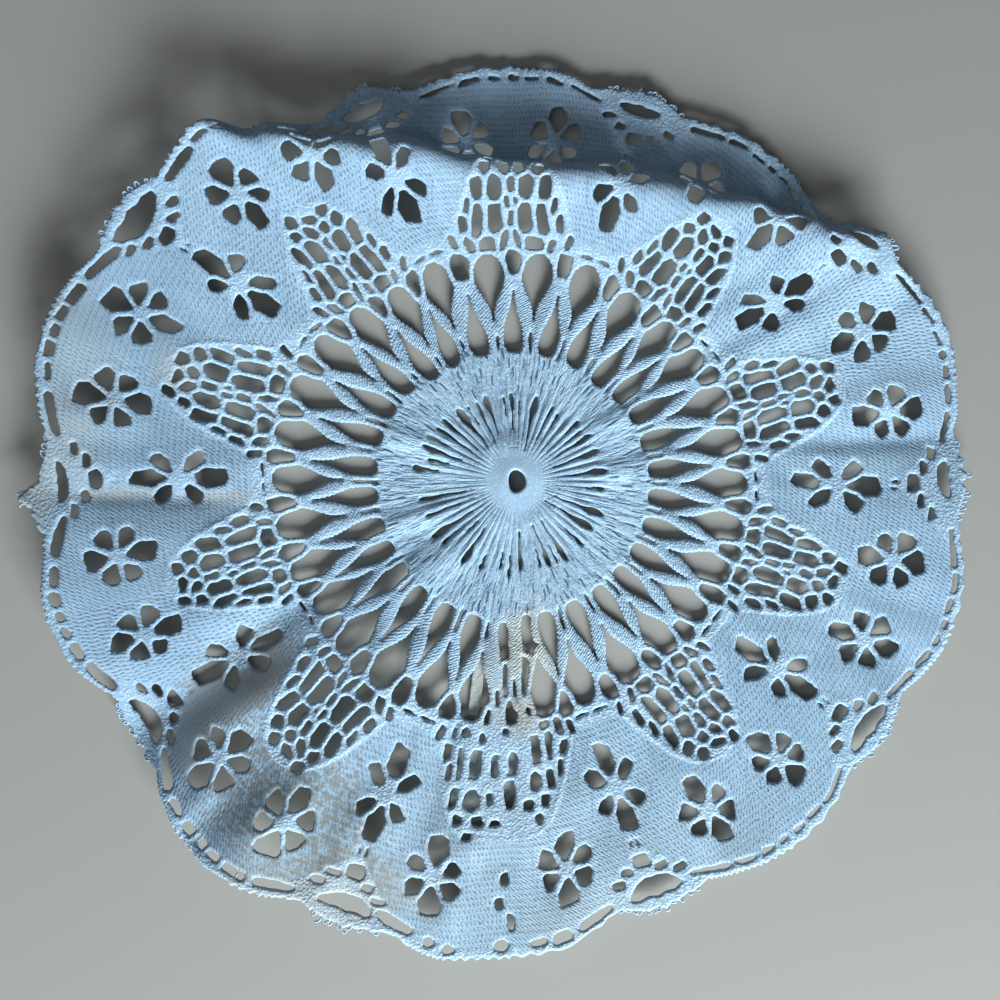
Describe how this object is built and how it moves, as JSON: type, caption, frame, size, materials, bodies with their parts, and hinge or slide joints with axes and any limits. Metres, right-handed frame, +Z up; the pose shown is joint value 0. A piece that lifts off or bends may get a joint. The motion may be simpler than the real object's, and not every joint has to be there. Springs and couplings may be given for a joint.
{
  "type": "lace doily",
  "caption": "Round cotton lace doily lying loosely: gathered centre, rings of drop-shaped holes, net wedges between cloth lobes with pierced flowers, scalloped edge, far side folded down.",
  "frame": {"origin": "middle of the doily's footprint, on the surface that it lies on", "axes": "+Z up, out of the laid lace; +X to the right and +Y away as the doily is seen from above with its seam towards the viewer"},
  "size_m": [0.1518, 0.1475, 0.01],
  "materials": {
    "lace_cotton": "matt cool white cotton thread, worked as cloth stitch, net and plaited bars, faintly yellowed in places"
  },
  "bodies": {
    "root": {"doily_lace": "lace_cotton"}
  },
  "joints": []
}
